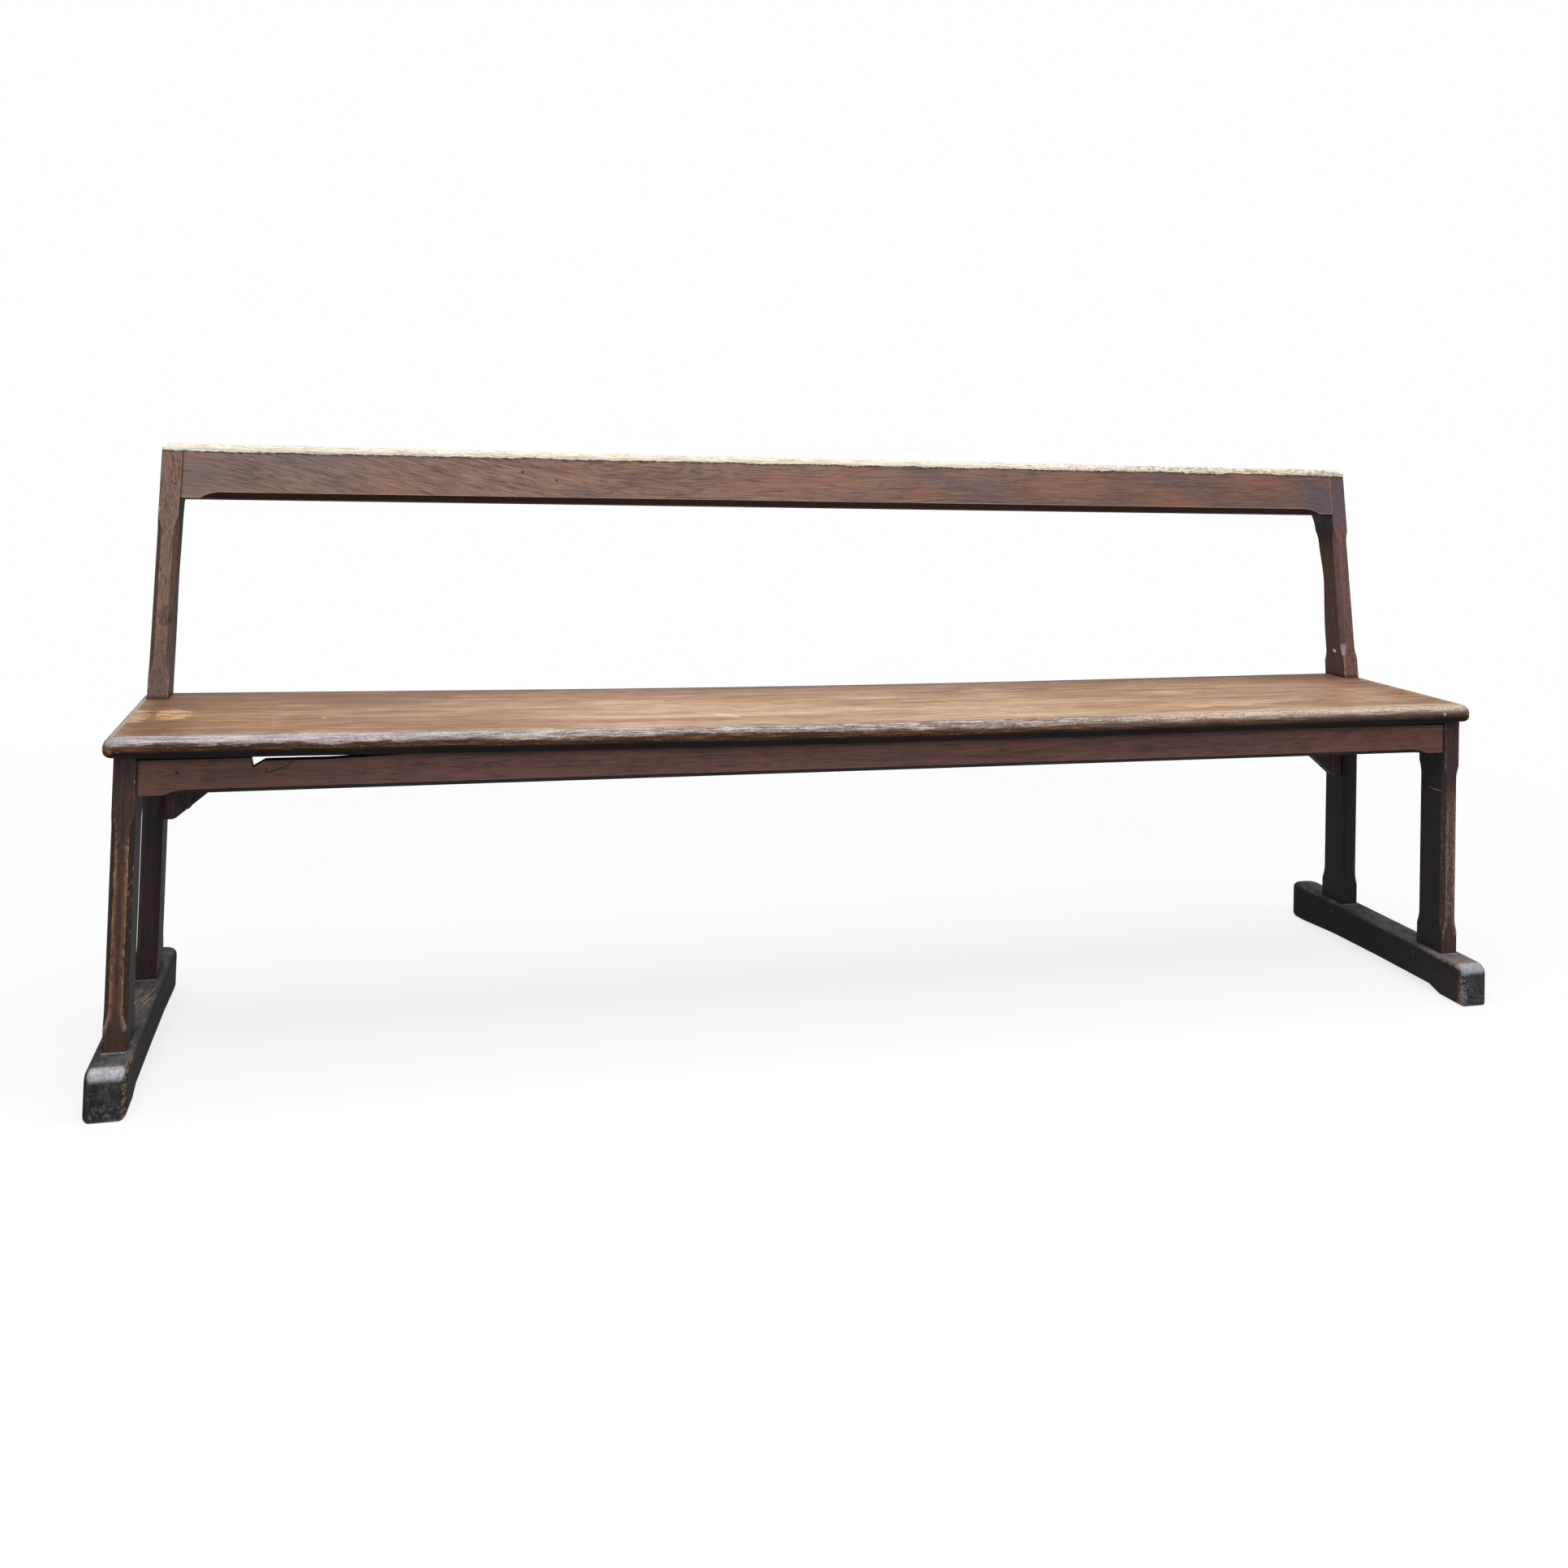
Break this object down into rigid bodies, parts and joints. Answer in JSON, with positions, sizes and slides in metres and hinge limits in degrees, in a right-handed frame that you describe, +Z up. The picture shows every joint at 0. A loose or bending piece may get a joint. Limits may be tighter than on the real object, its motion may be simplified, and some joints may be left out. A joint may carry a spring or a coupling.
{
  "type": "mission settle",
  "caption": "Long backed wooden bench with a narrow sagging seat board, a raked top rail over an open back, slim chamfered legs, knee brackets and heavy sledge feet.",
  "frame": {"origin": "on the floor, midway between the two sledge feet and midway along them", "axes": "+X along the bench to the right as a sitter's guest sees it from the front, +Y from the front to the back, +Z up"},
  "size_m": [1.994, 0.445, 0.8102],
  "materials": {
    "frame_wood": "dark reddish brown stain, worn to bare wood on the arrises",
    "rail_wood": "mid brown stain with curly grain, top arris worn to pale bare wood",
    "seat_wood": "mid brown, rubbed smooth with golden worn areas and a pale front edge",
    "apron_wood": "dark reddish brown stain",
    "foot_wood": "blackened grey brown, with worn pale corners",
    "peg_wood": "end grain, darkened",
    "iron": "dark oxidised iron"
  },
  "bodies": {
    "root": {"left_foot": "foot_wood", "right_foot": "foot_wood", "left_front_leg": "frame_wood", "right_front_leg": "frame_wood", "left_back_post": "frame_wood", "right_back_post": "frame_wood", "left_bearer": "frame_wood", "right_bearer": "frame_wood", "left_knee_bracket": "frame_wood", "right_knee_bracket": "frame_wood", "front_apron": "apron_wood", "rear_rail": "apron_wood", "seat_board": "seat_wood", "seat_plug": "peg_wood", "back_rail": "rail_wood", "left_foot_pegs": "peg_wood", "right_foot_pegs": "peg_wood", "left_bearer_pegs": "peg_wood", "right_bearer_pegs": "peg_wood", "left_rail_pegs": "peg_wood", "right_rail_pegs": "peg_wood", "left_seat_screws": "iron", "right_seat_screws": "iron", "left_bracket_nails": "iron", "right_bracket_nails": "iron"}
  },
  "joints": []
}
